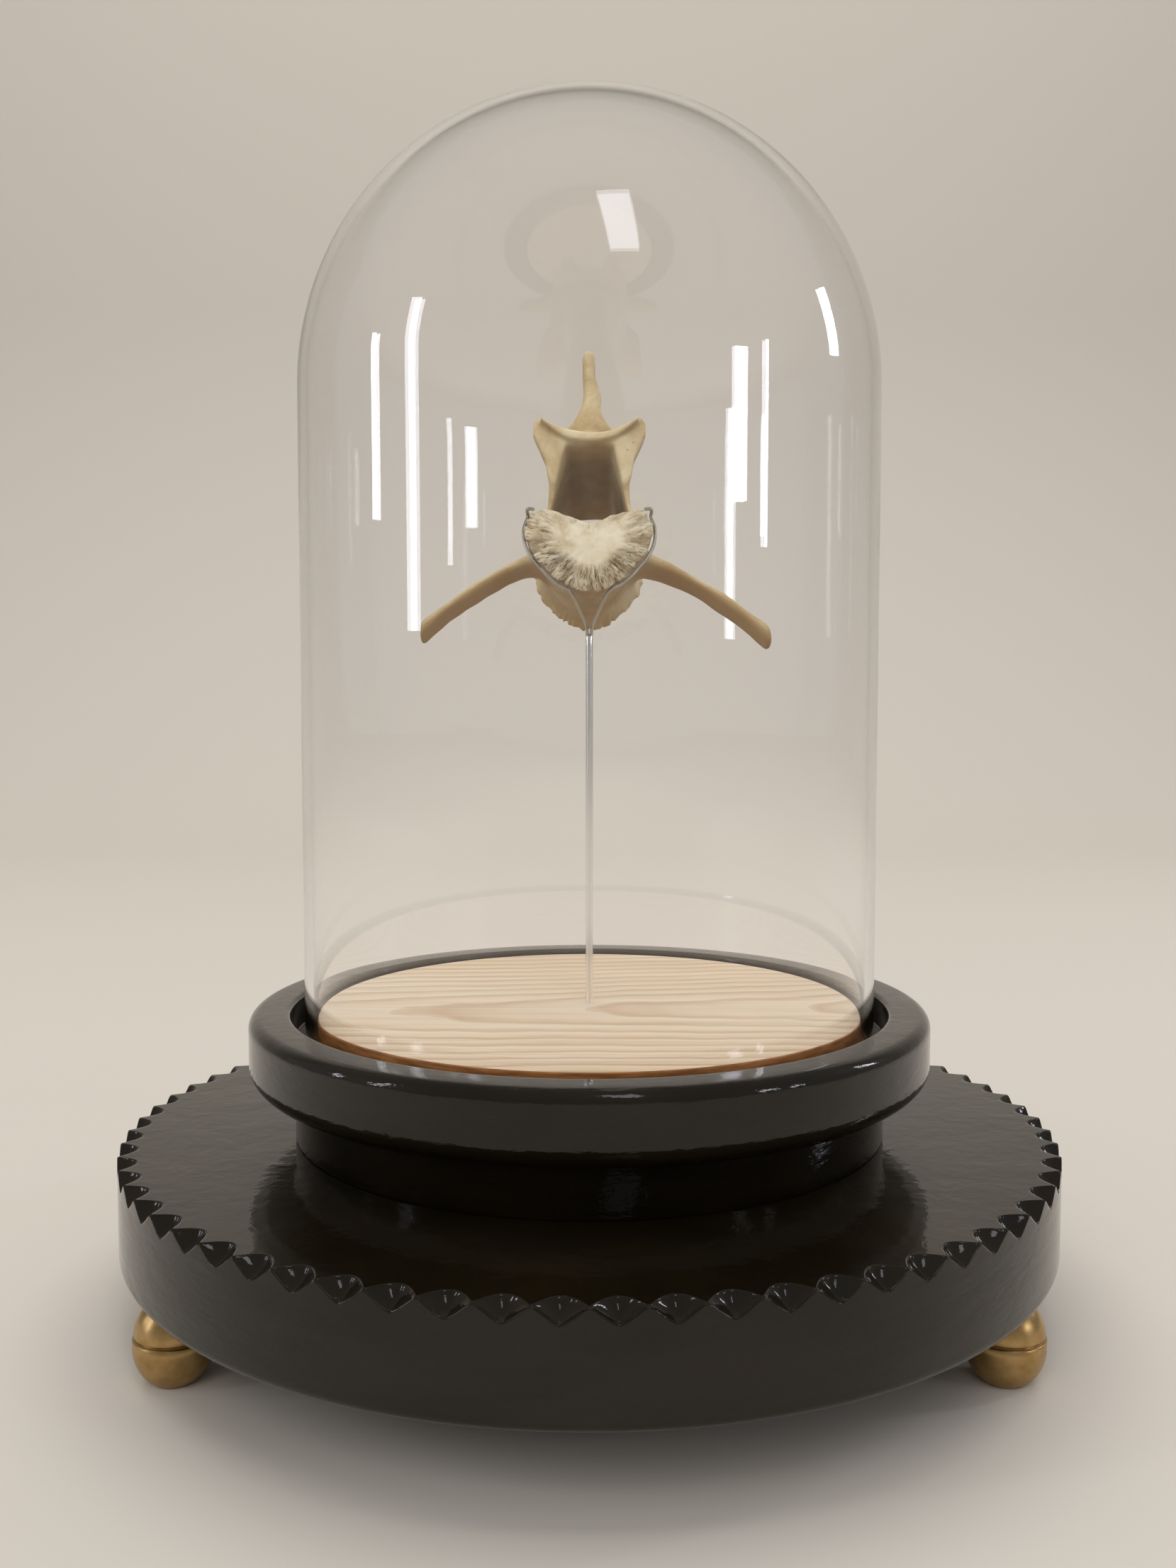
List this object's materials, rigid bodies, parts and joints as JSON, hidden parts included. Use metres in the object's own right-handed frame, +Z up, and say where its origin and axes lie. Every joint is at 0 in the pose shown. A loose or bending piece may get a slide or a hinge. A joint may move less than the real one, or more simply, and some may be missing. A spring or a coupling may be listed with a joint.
{
  "type": "mounted lumbar vertebra under a glass dome",
  "caption": "A pig's lumbar vertebra held on a steel rod over a wooden disc, under a glass dome on a turned black base and a scalloped round board with brass ball feet.",
  "frame": {"origin": "on the floor under the middle of the board", "axes": "+Z up along the rod, -Y towards the viewer and the vertebra's front end, +X to the viewer's right"},
  "size_m": [0.2754, 0.2754, 0.3536],
  "materials": {
    "bone": null,
    "steel": "polished steel rod and wire",
    "pale_wood": "sanded pale softwood with open grain, unvarnished",
    "black_lacquer": "turned wood under brushed black gloss lacquer",
    "brass": "satin lacquered brass",
    "clear_glass": "clear blown glass"
  },
  "bodies": {
    "root": {"vertebral_body": "bone", "neural_arch": "bone", "spinous_process": "bone", "articular_process_left": "bone", "articular_process_right": "bone", "transverse_process_left": "bone", "transverse_process_right": "bone", "rod": "steel", "wire_left": "steel", "wire_right": "steel", "wooden_disc": "pale_wood", "ring_base": "black_lacquer", "board": "black_lacquer", "foot_left": "brass", "foot_right": "brass", "foot_rear": "brass", "glass_dome": "clear_glass"}
  },
  "joints": []
}
